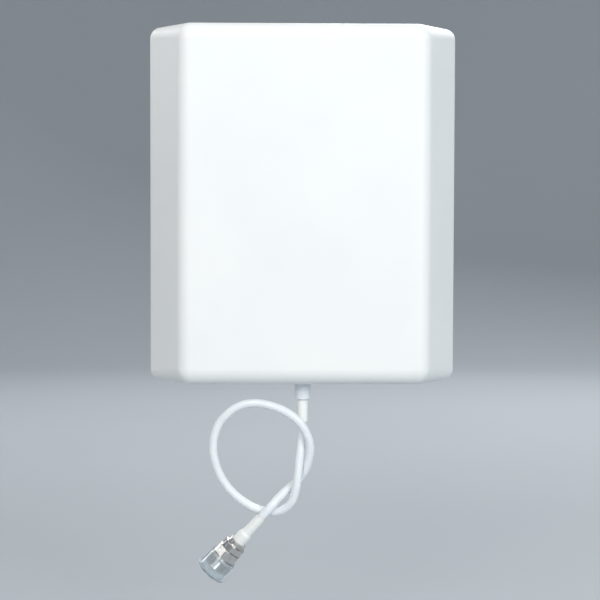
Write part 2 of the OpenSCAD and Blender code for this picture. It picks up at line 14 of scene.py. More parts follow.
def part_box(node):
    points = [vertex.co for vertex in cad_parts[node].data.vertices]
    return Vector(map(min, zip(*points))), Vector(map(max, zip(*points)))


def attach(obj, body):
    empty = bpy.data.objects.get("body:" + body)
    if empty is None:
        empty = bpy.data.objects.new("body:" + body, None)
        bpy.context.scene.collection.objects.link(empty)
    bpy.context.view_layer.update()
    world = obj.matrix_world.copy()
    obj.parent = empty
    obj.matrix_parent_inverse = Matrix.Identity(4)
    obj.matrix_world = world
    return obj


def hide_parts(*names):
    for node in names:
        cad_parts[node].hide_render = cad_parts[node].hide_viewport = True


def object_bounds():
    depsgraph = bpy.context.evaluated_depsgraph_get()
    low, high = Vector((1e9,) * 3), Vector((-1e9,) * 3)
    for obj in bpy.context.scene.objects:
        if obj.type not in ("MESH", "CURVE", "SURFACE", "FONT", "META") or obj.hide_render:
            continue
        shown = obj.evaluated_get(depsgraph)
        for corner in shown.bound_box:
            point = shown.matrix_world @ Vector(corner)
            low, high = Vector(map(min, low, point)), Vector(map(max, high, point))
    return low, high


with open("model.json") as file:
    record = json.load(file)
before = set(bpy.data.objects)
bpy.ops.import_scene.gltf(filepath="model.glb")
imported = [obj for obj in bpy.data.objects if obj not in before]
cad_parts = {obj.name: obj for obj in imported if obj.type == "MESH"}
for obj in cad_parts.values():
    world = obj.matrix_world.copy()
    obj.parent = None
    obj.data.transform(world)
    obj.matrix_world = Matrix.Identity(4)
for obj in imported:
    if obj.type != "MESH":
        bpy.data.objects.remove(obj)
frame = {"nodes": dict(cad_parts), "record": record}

CAD_LOW, CAD_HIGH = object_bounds()
MM = 0.001

# Lead: the cable's route from its exit, as in the part's source, and the connector on its end
LEAD_EXIT = Vector((0, -0.100, -0.1145))
CABLE_R = 0.0025
BORE_R = 0.00255
KNOT = [
    (0, 0, 0), (0, 0, -0.0065), (0, 0, -0.0135), (-0.0005, -0.0005, -0.022),
    (-0.0015, -0.002, -0.0315), (-0.0025, -0.0035, -0.0415), (-0.0035, -0.004, -0.0505),
    (-0.006, -0.0025, -0.0595), (-0.011, 0, -0.065), (-0.0175, 0.002, -0.067),
    (-0.0245, 0.003, -0.066), (-0.031, 0.002, -0.063), (-0.0375, 0.0015, -0.0585),
    (-0.0435, 0.001, -0.0525), (-0.048, 0.0005, -0.0455), (-0.051, 0, -0.038),
    (-0.0525, -0.0005, -0.030), (-0.052, -0.001, -0.022), (-0.049, -0.0015, -0.014),
    (-0.0435, -0.0025, -0.0075), (-0.0365, -0.0035, -0.003), (-0.0285, -0.0045, -0.0015),
    (-0.0205, -0.0055, -0.0025), (-0.013, -0.006, -0.005), (-0.006, -0.0065, -0.009),
    (-0.0005, -0.0065, -0.0145), (0.003, -0.0055, -0.021), (0.0045, -0.0035, -0.0285),
    (0.0035, -0.001, -0.036), (0.001, 0.001, -0.043), (-0.0035, 0.002, -0.049),
    (-0.009, 0.001, -0.0535), (-0.0145, -0.001, -0.0585), (-0.0195, -0.003, -0.064),
]
SMOOTH_STEPS = 6
BARREL_END = 0.0212
JACK = next(m for m in frame["record"]["mounts"] if m["name"] == "rf_connector")
PLUG_AXIS = Vector(JACK["axis"])
PLUG_REAR = Vector(JACK["pos_m"]) - BARREL_END * PLUG_AXIS

# Housing, as in the part's source
EDGE_R = 0.0065
FRONT_R = 0.0095
FACE_W = 0.141
RIM_DEPTH = 0.010
WALL = 0.0025
RIM_WALL = 0.0023
SEAT_DEPTH = 0.0035
LEDGE_DEPTH = 0.008
LEDGE_INSET = 0.006

# Metric fasteners: shank radius, across-flats, head height, thread pitch
M8 = {"r": 4 * MM, "af": 13 * MM, "head": 5.3 * MM, "pitch": 1.25 * MM}
M6 = {"r": 3 * MM, "af": 10 * MM, "head": 4 * MM, "pitch": 1.0 * MM}
M5 = {"r": 2.5 * MM, "af": 8 * MM, "head": 3.5 * MM, "pitch": 0.8 * MM}
# Depth of a thread as a share of its pitch, and its profile as shares of the pitch and of that depth
THREAD_CUT = 0.6134
HELIX = ((0, 0), (0.125, 0), (0.4375, 1), (0.6875, 1))
# How steeply a hexagon's chamfer rises, and how far its corners are turned down
CHAMFER_RISE = 0.6
CORNER_TURNED = 0.985
HEX_EDGE = 0.12 * MM

# Points closer than this are one point
SAME_POINT = 0.0002 * MM


# ---- Camera ----

def add_camera():
    """The camera stands in front of the panel, a little left of its middle, and looks slightly down."""
    yaw, pitch, roll = (math.radians(a) for a in (-1.47, -2.76, -0.16))
    data = bpy.data.cameras.new("camera")
    data.lens = 100.2
    data.sensor_width = 36
    camera = bpy.data.objects.new("camera", data)
    turn = Matrix.Rotation(yaw, 4, "Z") @ Matrix.Rotation(pitch, 4, "X") @ Matrix.Rotation(roll, 4, "Y")
    stand = Matrix.Translation((-0.0268, -1.078, -0.0086))
    camera.matrix_world = stand @ turn @ Matrix.Rotation(math.pi / 2, 4, "X")
    bpy.context.scene.collection.objects.link(camera)
    bpy.context.scene.camera = camera


add_camera()


# ---- Materials ----

class Surface:
    """A Principled material whose detail comes from textures in object space."""

    def __init__(self, name, colour, roughness, metallic=0.0, **sockets):
        self.material = bpy.data.materials.new(name)
        self.material.use_nodes = True
        self.nodes = self.material.node_tree.nodes
        self.link = self.material.node_tree.links.new
        self.shader = self.nodes["Principled BSDF"]
        self.where = self.nodes.new("ShaderNodeTexCoord").outputs["Object"]
        self.normal = None
        self.shader.inputs["Base Color"].default_value = (*colour, 1)
        self.shader.inputs["Roughness"].default_value = roughness
        self.shader.inputs["Metallic"].default_value = metallic
        for socket, value in sockets.items():
            self.shader.inputs[socket.replace("_", " ")].default_value = value

    def stretched(self, stretch):
        if stretch == (1, 1, 1):
            return self.where
        mapping = self.nodes.new("ShaderNodeMapping")
        mapping.inputs["Scale"].default_value = stretch
        self.link(self.where, mapping.inputs["Vector"])
        return mapping.outputs["Vector"]

    def noise(self, size, detail=3, stretch=(1, 1, 1)):
        """Noise with lumps of about this size; a stretch near 0 draws them out along that axis."""
        node = self.nodes.new("ShaderNodeTexNoise")
        node.inputs["Scale"].default_value = 1 / size
        node.inputs["Detail"].default_value = detail
        self.link(self.stretched(stretch), node.inputs["Vector"])
        return node.outputs["Fac"]

    def cells(self, size):
        """A random value for each cell of about this size, with edges bent by noise."""
        wobble = self.nodes.new("ShaderNodeTexNoise")
        wobble.inputs["Scale"].default_value = 2 / size
        self.link(self.where, wobble.inputs["Vector"])
        push = self.nodes.new("ShaderNodeVectorMath")
        push.operation = "MULTIPLY_ADD"
        push.inputs[1].default_value = (size * 0.7,) * 3
        self.link(wobble.outputs["Color"], push.inputs[0])
        self.link(self.where, push.inputs[2])
        node = self.nodes.new("ShaderNodeTexVoronoi")
        node.inputs["Scale"].default_value = 1 / size
        self.link(push.outputs["Vector"], node.inputs["Vector"])
        split = self.nodes.new("ShaderNodeSeparateColor")
        self.link(node.outputs["Color"], split.inputs["Color"])
        return split.outputs["Red"]

    def ranged(self, source, low, high, start, end):
        node = self.nodes.new("ShaderNodeMapRange")
        for socket, value in (("From Min", start), ("From Max", end), ("To Min", low), ("To Max", high)):
            node.inputs[socket].default_value = value
        self.link(source, node.inputs["Value"])
        return node.outputs["Result"]

    def colour(self, source, low, high, start=0.3, end=0.7):
        """Base colour that runs from low to high as the source goes from start to end."""
        mix = self.nodes.new("ShaderNodeMix")
        mix.data_type = "RGBA"
        mix.inputs[6].default_value = (*low, 1)
        mix.inputs[7].default_value = (*high, 1)
        self.link(self.ranged(source, 0, 1, start, end), mix.inputs[0])
        self.link(mix.outputs[2], self.shader.inputs["Base Color"])
        return self

    def rough(self, source, low, high, start=0.3, end=0.7):
        self.link(self.ranged(source, low, high, start, end), self.shader.inputs["Roughness"])
        return self

    def bump(self, source, height, strength=1.0):
        """Adds relief of this height, over any relief that is already there."""
        node = self.nodes.new("ShaderNodeBump")
        node.inputs["Strength"].default_value = strength
        node.inputs["Distance"].default_value = height
        self.link(source, node.inputs["Height"])
        if self.normal is not None:
            self.link(self.normal, node.inputs["Normal"])
        self.normal = node.outputs["Normal"]
        self.link(self.normal, self.shader.inputs["Normal"])
        return self


def radome_plastic():
    """White ASA with the fine grain of a textured mould and a faint flow pattern."""
    look = Surface("radome_plastic", (0.84, 0.85, 0.85), 0.42)
    look.colour(look.noise(60 * MM, 2), (0.83, 0.845, 0.85), (0.86, 0.865, 0.86))
    look.rough(look.noise(9 * MM, 4), 0.36, 0.48)
    look.bump(look.noise(18 * MM, 1), 0.05 * MM, 0.5)
    look.bump(look.noise(0.7 * MM, 2), 0.012 * MM, 0.7)
    return look.material


def gland_plastic():
    look = Surface("gland_plastic", (0.78, 0.82, 0.85), 0.45)
    look.colour(look.noise(4 * MM, 3), (0.76, 0.80, 0.84), (0.81, 0.84, 0.86))
    look.rough(look.noise(1.5 * MM, 3), 0.38, 0.55)
    look.bump(look.noise(0.5 * MM, 2), 0.015 * MM, 0.8)
    return look.material


def shrink_sleeve():
    """Shrunk tubing: satin, with faint rings where it gathered."""
    look = Surface("shrink_sleeve", (0.86, 0.87, 0.85), 0.38)
    look.colour(look.noise(3 * MM, 3), (0.84, 0.86, 0.85), (0.89, 0.89, 0.86))
    look.rough(look.noise(1.2 * MM, 3), 0.30, 0.46)
    look.bump(look.noise(0.9 * MM, 2, (0.15, 0.15, 1)), 0.03 * MM, 0.6)
    look.bump(look.noise(0.35 * MM, 2), 0.008 * MM, 0.8)
    return look.material


def cable_jacket():
    """White PVC jacket, a little glossy, over the faint lay of the braid."""
    look = Surface("cable_jacket", (0.80, 0.83, 0.855), 0.34, Coat_Weight=0.1, Coat_Roughness=0.25,
                   Subsurface_Weight=0.7, Subsurface_Radius=(1, 1, 1), Subsurface_Scale=3 * MM)
    look.colour(look.noise(7 * MM, 3), (0.78, 0.815, 0.845), (0.83, 0.85, 0.865))
    look.rough(look.noise(2 * MM, 3), 0.27, 0.42)
    look.bump(look.noise(2.2 * MM, 2), 0.02 * MM, 0.5)
    look.bump(look.noise(0.4 * MM, 2), 0.006 * MM, 0.7)
    return look.material


def nickel_plate():
    """Nickel over turned brass: fine rings round the axis and a few dull patches."""
    look = Surface("nickel_plate", (0.70, 0.68, 0.65), 0.2, 1.0)
    look.colour(look.noise(3 * MM, 3), (0.62, 0.60, 0.57), (0.76, 0.75, 0.73))
    look.rough(look.noise(1.6 * MM, 3), 0.13, 0.24)
    look.bump(look.noise(0.15 * MM, 1, (0.02, 0.02, 1)), 0.0015 * MM, 0.7)
    return look.material


def cap_plastic():
    """Translucent polyethylene: clear enough to see the thread, milky at grazing angles."""
    look = Surface("cap_plastic", (0.90, 0.96, 0.99), 0.05, Transmission_Weight=0.84, IOR=1.28)
    look.rough(look.noise(2.5 * MM, 2), 0.02, 0.07)
    look.bump(look.noise(2 * MM, 1, (0.3, 0.3, 1)), 0.006 * MM, 0.3)
    return look.material


def zinc_steel():
    """Bright zinc with a slight blue cast and uneven plating."""
    look = Surface("zinc_steel", (0.66, 0.68, 0.71), 0.32, 1.0)
    look.colour(look.noise(3 * MM, 4), (0.55, 0.57, 0.60), (0.74, 0.76, 0.78))
    look.rough(look.noise(1.4 * MM, 4), 0.22, 0.44)
    look.bump(look.noise(0.35 * MM, 3), 0.008 * MM, 0.7)
    return look.material


def galvanised_steel():
    """Hot-dip zinc: crystals that differ in shade and gloss."""
    look = Surface("galvanised_steel", (0.56, 0.58, 0.60), 0.42, 0.9)
    spangle = look.cells(4.5 * MM)
    look.colour(spangle, (0.52, 0.54, 0.56), (0.64, 0.66, 0.68), 0, 1)
    look.rough(spangle, 0.34, 0.48, 0, 1)
    look.bump(spangle, 0.02 * MM, 0.35)
    look.bump(look.noise(0.6 * MM, 4), 0.015 * MM, 0.6)
    return look.material


def cast_alloy():
    """Sand-textured aluminium casting."""
    look = Surface("cast_alloy", (0.55, 0.56, 0.58), 0.55, 0.75)
    look.colour(look.noise(5 * MM, 5), (0.50, 0.51, 0.53), (0.61, 0.62, 0.64))
    look.rough(look.noise(1.2 * MM, 4), 0.45, 0.68)
    look.bump(look.noise(1.1 * MM, 4), 0.10 * MM, 0.6)
    look.bump(look.noise(0.35 * MM, 2), 0.03 * MM, 0.7)
    return look.material


def rolled_aluminium():
    """Mill-finish sheet with its rolling lines running up the panel."""
    look = Surface("rolled_aluminium", (0.74, 0.75, 0.77), 0.34, 1.0)
    lines = look.noise(0.35 * MM, 3, (1, 1, 0.01))
    look.colour(look.noise(40 * MM, 4), (0.66, 0.675, 0.69), (0.78, 0.79, 0.80))
    look.rough(lines, 0.27, 0.45)
    look.bump(lines, 0.006 * MM, 0.6)
    look.bump(look.noise(12 * MM, 2), 0.04 * MM, 0.3)
    return look.material


def patch_metal():
    look = Surface("patch_metal", (0.80, 0.76, 0.66), 0.3, 1.0)
    look.colour(look.noise(12 * MM, 4), (0.72, 0.66, 0.54), (0.86, 0.82, 0.72))
    look.rough(look.noise(0.4 * MM, 3, (0.02, 1, 1)), 0.24, 0.42)
    look.bump(look.noise(0.4 * MM, 3, (0.02, 1, 1)), 0.005 * MM, 0.5)
    return look.material


def copper_strip():
    look = Surface("copper_strip", (0.80, 0.47, 0.32), 0.3, 1.0)
    look.colour(look.noise(2 * MM, 4), (0.62, 0.34, 0.22), (0.86, 0.52, 0.36))
    look.rough(look.noise(0.8 * MM, 3), 0.22, 0.42)
    return look.material


def gold_contact():
    look = Surface("gold_contact", (0.93, 0.71, 0.33), 0.22, 1.0)
    look.colour(look.noise(1.2 * MM, 3), (0.82, 0.60, 0.26), (0.97, 0.78, 0.42))
    look.rough(look.noise(0.6 * MM, 3), 0.14, 0.32)
    return look.material


def nylon():
    look = Surface("nylon", (0.80, 0.77, 0.68), 0.45)
    look.colour(look.noise(3 * MM, 3), (0.76, 0.73, 0.64), (0.84, 0.82, 0.74))
    look.rough(look.noise(0.8 * MM, 3), 0.38, 0.55)
    look.bump(look.noise(0.5 * MM, 2), 0.01 * MM, 0.6)
    return look.material


def ptfe():
    look = Surface("ptfe", (0.88, 0.88, 0.86), 0.5)
    look.colour(look.noise(1.5 * MM, 3), (0.84, 0.84, 0.82), (0.90, 0.90, 0.89))
    look.rough(look.noise(0.5 * MM, 3), 0.42, 0.6)
    return look.material


def gasket_rubber():
    look = Surface("gasket_rubber", (0.03, 0.03, 0.032), 0.7)
    look.colour(look.noise(2 * MM, 4), (0.02, 0.02, 0.022), (0.05, 0.05, 0.052))
    look.rough(look.noise(0.7 * MM, 3), 0.6, 0.85)
    look.bump(look.noise(0.4 * MM, 3), 0.02 * MM, 0.6)
    return look.material


LOOKS = {make.__name__: make() for make in (
    radome_plastic, gland_plastic, shrink_sleeve, cable_jacket, nickel_plate, cap_plastic, zinc_steel,
    galvanised_steel, cast_alloy, rolled_aluminium, patch_metal, copper_strip, gold_contact, nylon,
    ptfe, gasket_rubber)}


# ---- Lead ----

def spline(points, steps):
    """Catmull-Rom curve through the points, with this many steps between neighbours."""
    ends = [2 * points[0] - points[1], *points, 2 * points[-1] - points[-2]]
    line = []
    for a, b, c, d in zip(ends, ends[1:], ends[2:], ends[3:]):
        for k in range(steps):
            t = k / steps
            line.append(0.5 * (2 * b + (c - a) * t + (2 * a - 5 * b + 4 * c - d) * t * t
                               + (3 * b - a - 3 * c + d) * t * t * t))
    return line + [points[-1]]


def lead_line():
    knot = [LEAD_EXIT + Vector(p) for p in KNOT]
    straight = [PLUG_REAR - back * PLUG_AXIS for back in (0.020, 0.010, 0)]
    return spline(knot + straight, SMOOTH_STEPS)


def add_lead(line):
    data = bpy.data.curves.new("lead_cable", "CURVE")
    data.dimensions = "3D"
    data.bevel_depth = CABLE_R
    data.bevel_resolution = 8
    data.use_fill_caps = True
    run = data.splines.new("POLY")
    run.points.add(len(line) - 1)
    for point, at in zip(run.points, line):
        point.co = (*at, 1)
    data.materials.append(LOOKS["cable_jacket"])
    lead = bpy.data.objects.new("lead_cable", data)
    bpy.context.scene.collection.objects.link(lead)
    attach(lead, "panel")
    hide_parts("pigtail_cord")
    return lead


LEAD_LINE = lead_line()
LEAD_LENGTH = sum((b - a).length for a, b in zip(LEAD_LINE, LEAD_LINE[1:]))
lead_cable = add_lead(LEAD_LINE)


# ---- Mesh helpers ----

def even_angles(count):
    return [2 * math.pi * k / count for k in range(count)]


def hex_angles(turn, arc):
    """Angles round a hexagon whose corners are turned off over an arc each side of every corner."""
    soft = min(math.radians(1.2), 0.4 * arc)
    flat = math.pi / 6
    half = [0, arc * 0.5, arc - soft, arc, arc + soft, arc + 3 * soft, (arc + flat) / 2 + soft, flat]
    side = half + [2 * flat - a for a in reversed(half[1:-1])]
    return [turn + corner * math.pi / 3 + a for corner in range(6) for a in side]


def hex_reach(angle, af, turned_r, turn):
    """Distance from the axis to the side of a hexagon with a corner at turn, cut down to a radius."""
    off = (angle - turn) % (math.pi / 3) - math.pi / 6
    flat = af / 2 / math.cos(off)
    blend = 0.04 * MM
    share = max(0.0, min(1.0, 0.5 + (turned_r - flat) / (2 * blend)))
    return turned_r * (1 - share) + flat * share - blend * share * (1 - share)


def rounded(points, radius, closed=False, steps=3):
    """Profile with each corner rounded over this length, or over less where the sides are short."""
    count = len(points)
    out = []
    for i, (r, z) in enumerate(points):
        if not closed and i in (0, count - 1):
            out.append((r, z))
            continue
        here = Vector((r, z))
        before = Vector(points[i - 1]) - here
        after = Vector(points[(i + 1) % count]) - here
        cut = min(radius, 0.45 * before.length, 0.45 * after.length)
        start = here + before.normalized() * cut
        end = here + after.normalized() * cut
        for k in range(steps + 1):
            t = k / steps
            out.append(tuple(start * (1 - t) ** 2 + here * 2 * t * (1 - t) + end * t * t))
    return out


def helix_points(angle, r, pitch, low, high):
    """Profile of a right-hand thread at one angle, between two heights, fading out at both ends."""
    points = []
    for turn in range(math.ceil((high - low) / pitch) + 2):
        for share, deep in HELIX:
            z = low + (turn + share - 1 + angle / (2 * math.pi)) * pitch
            z = min(max(z, low), high)
            fade = min((z - low) / pitch, (high - z) / pitch, 1)
            points.append((r - THREAD_CUT * pitch * deep * fade, z))
    return points


def revolve(profile, angles, closed=False, helix=None):
    """Grid of faces round the Z axis. helix is the span of profile points that hold a thread."""
    rows = [profile(a) for a in angles]
    count = len(rows[0])
    verts = [(r * math.cos(a), r * math.sin(a), z) for a, row in zip(angles, rows) for r, z in row]

    def index(column, i):
        if column < len(angles):
            return column * count + i
        if helix and helix[0] <= i < helix[1]:
            return min(i + len(HELIX), helix[1] - 1)
        return i

    faces = []
    for column in range(len(angles)):
        for i in range(count if closed else count - 1):
            k = (i + 1) % count
            faces.append((index(column, i), index(column + 1, i), index(column + 1, k), index(column, k)))
    return verts, faces


def placed(shape, matrix):
    verts, faces = shape
    return [tuple(matrix @ Vector(v)) for v in verts], faces


def joined(shapes):
    verts, faces = [], []
    for more_verts, more_faces in shapes:
        start = len(verts)
        verts += more_verts
        faces += [tuple(i + start for i in face) for face in more_faces]
    return verts, faces


def merged_mesh(name, shape, closed=True, apart=SAME_POINT):
    """Mesh of a shape with its doubled points merged. A closed one also gets its normals outwards."""
    mesh = bpy.data.meshes.new(name)
    mesh.from_pydata(shape[0], [], shape[1])
    work = bmesh.new()
    work.from_mesh(mesh)
    bmesh.ops.remove_doubles(work, verts=work.verts, dist=apart)
    if closed:
        bmesh.ops.dissolve_degenerate(work, edges=work.edges, dist=apart)
        bmesh.ops.recalc_face_normals(work, faces=work.faces)
    for face in work.faces:
        face.smooth = True
    work.to_mesh(mesh)
    work.free()
    return mesh


def linked(name, data):
    obj = bpy.data.objects.new(name, data)
    bpy.context.scene.collection.objects.link(obj)
    return obj


def piece(name, shape, look, body, nodes, place=None):
    """A closed mesh piece that rides on a body and stands for CAD nodes."""
    mesh = merged_mesh(name, shape)
    mesh.materials.append(LOOKS[look])
    obj = linked(name, mesh)
    if place is not None:
        obj.matrix_world = place
    weighted = obj.modifiers.new("weighted_normals", "WEIGHTED_NORMAL")
    weighted.keep_sharp = True
    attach(obj, body)
    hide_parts(*nodes)
    return obj


def frame_along(at, z_axis, x_hint):
    """Matrix that stands a piece at a point with its Z axis along a direction."""
    z = Vector(z_axis).normalized()
    x = Vector(x_hint)
    x = (x - x.dot(z) * z).normalized()
    y = z.cross(x)
    return Matrix.Translation(at) @ Matrix((x, y, z)).transposed().to_4x4()


# ---- Pieces on the lead ----

def lathe(points, segments=72, rounding=0.15 * MM, closed=True):
    outline = rounded(points, rounding, closed)
    return revolve(lambda _: outline, even_angles(segments), closed)


def add_gland():
    low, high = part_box("cable_gland")
    under = HOUSING_BOTTOM
    flange_r = (high.x - low.x) / 2
    body_r = flange_r - 0.25 * MM
    flange = 3.5 * MM
    length = under - low.z
    thread_r = 3.95 * MM
    inside = high.z - under
    shape = lathe([
        (BORE_R, inside), (thread_r, inside), (thread_r, 0), (flange_r, 0), (flange_r, -flange),
        (body_r - 0.1 * MM, -flange - 0.15 * MM), (body_r, -flange - 0.45 * MM), (body_r, 1 * MM - length),
        (body_r - 1 * MM, -length), (BORE_R + 0.1 * MM, -length)], rounding=0.25 * MM)
    place = Matrix.Translation((LEAD_EXIT.x, LEAD_EXIT.y, under))
    return piece("gland_body", shape, "gland_plastic", "panel", ["cable_gland"], place=place)


def add_exit_sleeve():
    low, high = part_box("exit_sleeve")
    length = high.z - low.z
    wide = (high.x - low.x) / 2
    shape = lathe([
        (BORE_R, 0), (wide, 0), (wide, -length * 0.25), (wide - 0.05 * MM, -length * 0.6),
        (wide - 0.17 * MM, -length * 0.94), (wide - 0.3 * MM, -length), (BORE_R, -length)], rounding=0.2 * MM)
    place = Matrix.Translation(LEAD_EXIT)
    return piece("exit_shrink_sleeve", shape, "shrink_sleeve", "panel", ["exit_sleeve"], place=place)


PLUG_PLACE = frame_along(PLUG_REAR, PLUG_AXIS, Vector((0, 1, 0)).cross(PLUG_AXIS))
RING_R = 5.3 * MM
NUT_START = 2.6 * MM
HEX_START = 6.8 * MM
BARREL_START = 12.8 * MM
BARREL_R = 7.95 * MM
JACK_R = 4.3 * MM
FERRULE_R = 3.35 * MM


def add_connector_sleeve():
    shape = lathe([
        (FERRULE_R, 0), (4.0 * MM, 0), (4.15 * MM, -0.4 * MM), (4.12 * MM, -5.7 * MM), (3.9 * MM, -6.5 * MM),
        (3.35 * MM, -7.2 * MM), (3.2 * MM, -9.0 * MM), (3.0 * MM, -19.4 * MM), (2.85 * MM, -20.0 * MM),
        (BORE_R, -20.0 * MM), (BORE_R, -7.0 * MM), (FERRULE_R, -6.1 * MM)], rounding=0.4 * MM)
    return piece("connector_shrink_sleeve", shape, "shrink_sleeve", "panel", ["connector_sleeve"],
                 place=PLUG_PLACE)


def hexagon(af, turned_r, turn, before, low, high, after, helix=None):
    """Solid round Z with a chamfered hexagon between two heights; before and after are profile points."""
    face_r = af / 2 * 0.97
    arc = math.pi / 6 - math.acos(min(1, af / 2 / turned_r))

    def profile(angle):
        reach = hex_reach(angle, af, turned_r, turn)
        rise = (reach - face_r) * CHAMFER_RISE
        points = before + [(face_r, low), (reach, low + rise), (reach, high - rise), (face_r, high)] + after
        outline = rounded(points, HEX_EDGE, closed=helix is None)
        if helix is None:
            return outline
        r, pitch, start, end, tail = helix
        return outline + helix_points(angle, r, pitch, start, end) + rounded(tail, HEX_EDGE)

    angles = hex_angles(turn, arc)
    span = None
    if helix is not None:
        r, pitch, start, end, tail = helix
        first = len(rounded(before + [(0, 0)] * 4 + after, HEX_EDGE))
        span = (first, first + len(helix_points(0, r, pitch, start, end)))
    return revolve(profile, angles, closed=before[0][0] > 0, helix=span)


def add_connector_nut():
    before = [(4.45 * MM, 2 * MM), (1.6 * MM, 2 * MM), (1.6 * MM, 0), (RING_R, 0), (RING_R, 2.1 * MM),
              (RING_R - 0.3 * MM, 2.3 * MM), (RING_R - 0.3 * MM, NUT_START)]
    shape = hexagon(13 * MM, 6.75 * MM, math.radians(22), before, NUT_START, HEX_START,
                    [(4.45 * MM, HEX_START)])
    return piece("connector_clamp_nut", shape, "nickel_plate", "panel", ["connector_nut"], place=PLUG_PLACE)


def add_connector_body():
    before = [(2.5 * MM, 9 * MM), (2.5 * MM, 2 * MM), (4.4 * MM, 2 * MM), (4.4 * MM, HEX_START)]
    neck = BARREL_R - 0.5 * MM
    thread_start = BARREL_START + 1 * MM
    thread_end = BARREL_END - 0.6 * MM
    after = [(neck, BARREL_START), (neck, thread_start - 0.3 * MM), (BARREL_R, thread_start)]
    tail = [(BARREL_R, thread_end), (BARREL_R - 0.6 * MM, BARREL_END), (JACK_R, BARREL_END), (JACK_R, 9 * MM)]
    shape = hexagon(14 * MM, 7.5 * MM, math.radians(-21), before, HEX_START, BARREL_START, after,
                    helix=(BARREL_R, 25.4 / 24 * MM, thread_start, thread_end, tail))
    return piece("connector_threaded_body", shape, "nickel_plate", "panel", ["connector_body"],
                 place=PLUG_PLACE)


def add_cap():
    bore, outer, rim = 8.03 * MM, 8.48 * MM, 9.75 * MM
    mouth, inside_end, rim_start, end = 12.9 * MM, 24.2 * MM, 24.0 * MM, 25.2 * MM
    outline = rounded([
        (0, inside_end), (bore, inside_end), (bore, mouth), (outer, mouth), (outer, rim_start),
        (rim, rim_start), (rim, end), (1.2 * MM, end), (1.0 * MM, end - 0.25 * MM), (0, end - 0.3 * MM)],
        0.25 * MM)
    shape = revolve(lambda _: outline, even_angles(96))
    return piece("connector_push_cap", shape, "cap_plastic", "connector_cap", ["connector_cap"],
                 place=PLUG_PLACE)


# ---- Radome ----

def rounded_loop(half_w, half_h, radius, depth, steps):
    """Rounded rectangle at a depth of the housing, starting up the right side."""
    loop = []
    for corner, (sx, sz) in enumerate(((1, 1), (-1, 1), (-1, -1), (1, -1))):
        for k in range(steps + 1):
            a = math.pi / 2 * (corner + k / steps)
            loop.append((sx * (half_w - radius) + radius * math.cos(a), BACK_Y - depth,
                         sz * (half_h - radius) + radius * math.sin(a)))
    return loop


def bands(loops):
    """Faces that join neighbouring loops of the same length."""
    count = len(loops[0])
    faces = [(n * count + i, n * count + (i + 1) % count, (n + 1) * count + (i + 1) % count,
              (n + 1) * count + i) for n in range(len(loops) - 1) for i in range(count)]
    return [p for loop in loops for p in loop], faces


def housing_shell(inset, start_depth, steps):
    """The moulded skin, from a depth forwards: flat faces joined by rounds, made of level rings."""
    slant = math.atan((HALF_W - FACE_W / 2) / (DEPTH - RIM_DEPTH))
    side_x = HALF_W - EDGE_R
    front_x = FACE_W / 2 - FRONT_R * math.tan(math.pi / 4 - slant / 2)
    rim_y = BACK_Y - RIM_DEPTH + EDGE_R * math.tan(slant / 2)
    front_y = BACK_Y - DEPTH + FRONT_R
    start_y = BACK_Y - start_depth
    corners = [(-side_x, start_y, EDGE_R), (-side_x, rim_y, EDGE_R), (-front_x, front_y, FRONT_R),
               (front_x, front_y, FRONT_R), (side_x, rim_y, EDGE_R), (side_x, start_y, EDGE_R)]
    turns = [math.pi, math.pi + slant, 1.5 * math.pi, 2 * math.pi - slant, 2 * math.pi]
    around = [(0, turns[0])]
    for corner in range(1, 5):
        for k in range(steps + 1):
            around.append((corner, turns[corner - 1] + (turns[corner] - turns[corner - 1]) * k / steps))
    around.append((5, turns[-1]))
    levels = [(-1, 1 - k / steps) for k in range(steps + 1)] + [(1, k / steps) for k in range(steps + 1)]
    verts = []
    for side, share in levels:
        lift = math.pi / 2 * share
        for corner, turn in around:
            x, y, radius = corners[corner]
            reach = (radius - inset) * math.cos(lift)
            z = side * (HALF_H - radius + (radius - inset) * math.sin(lift))
            verts.append((x + reach * math.cos(turn), y + reach * math.sin(turn), z))
    count = len(around)
    faces = [(n * count + i, n * count + i + 1, (n + 1) * count + i + 1, (n + 1) * count + i)
             for n in range(len(levels) - 1) for i in range(count - 1)]
    for side in (-1, 1):
        faces.append(tuple(range(len(verts), len(verts) + len(corners))))
        verts += [(x, y, side * (HALF_H - inset)) for x, y, _ in corners]
    return verts, faces


def add_radome():
    steps = 8
    lip = 0.4 * MM
    plate_w, plate_h = HALF_W - RIM_WALL, HALF_H - RIM_WALL
    ledge_w, ledge_h = HALF_W - LEDGE_INSET, HALF_H - LEDGE_INSET
    seat_r = 5 * MM
    loops = [
        rounded_loop(HALF_W, HALF_H, EDGE_R, lip, steps),
        rounded_loop(HALF_W - 0.12 * MM, HALF_H - 0.12 * MM, EDGE_R - 0.12 * MM, 0.12 * MM, steps),
        rounded_loop(HALF_W - lip, HALF_H - lip, EDGE_R - lip, 0, steps),
        rounded_loop(plate_w, plate_h, seat_r, 0, steps),
        rounded_loop(plate_w, plate_h, seat_r, SEAT_DEPTH, steps),
        rounded_loop(ledge_w, ledge_h, seat_r, SEAT_DEPTH, steps),
        rounded_loop(ledge_w, ledge_h, seat_r, LEDGE_DEPTH, steps),
        rounded_loop(HALF_W - WALL, HALF_H - WALL, EDGE_R - WALL, LEDGE_DEPTH, steps),
    ]
    shape = joined([housing_shell(0, lip, steps), bands(loops), housing_shell(WALL, LEDGE_DEPTH, steps)])
    return piece("radome_cover", shape, "radome_plastic", "panel", ["radome"])


# ---- Fasteners ----

def corner_r(size):
    """Distance from the axis to a corner of a sharp hexagon."""
    return size["af"] / 2 / math.cos(math.pi / 6)


